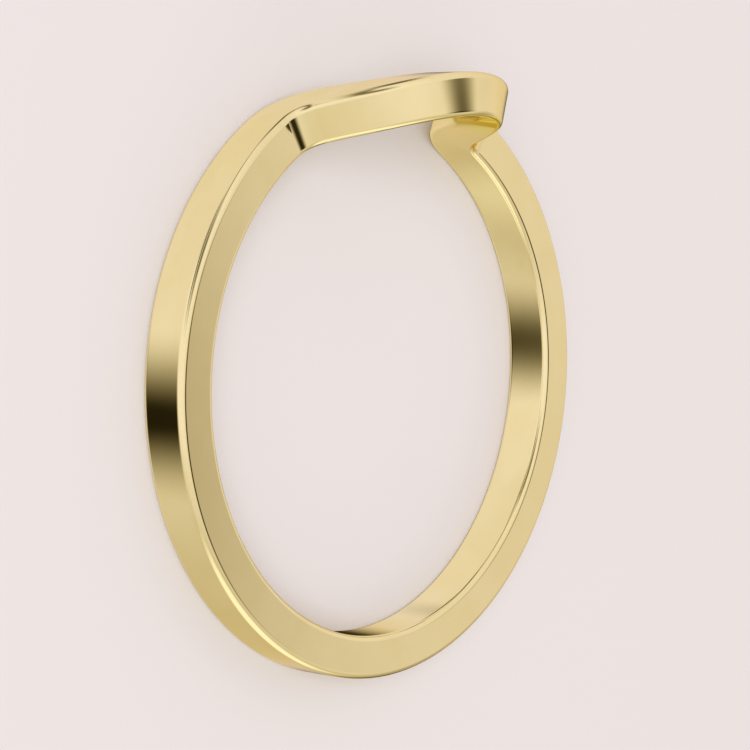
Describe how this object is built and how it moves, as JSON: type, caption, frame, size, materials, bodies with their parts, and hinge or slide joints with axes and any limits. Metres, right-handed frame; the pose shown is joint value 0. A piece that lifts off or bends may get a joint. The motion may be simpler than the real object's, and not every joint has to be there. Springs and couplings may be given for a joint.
{
  "type": "curved ring",
  "caption": "Plain polished gold ring whose flat-walled band bows out in one rounded arch, so that it sits around the stone of a neighbouring ring.",
  "frame": {"origin": "on the finger axis, in the plane of the flat back edge that the ring rests on", "axes": "+Z along the finger axis, up from the surface it rests on and the way the arch bows; +Y to the middle of the arch; +X across it"},
  "size_m": [0.0202, 0.0202, 0.0052],
  "materials": {
    "polished_gold": "polished yellow gold"
  },
  "bodies": {
    "root": {"curved_band": "polished_gold"}
  },
  "joints": []
}
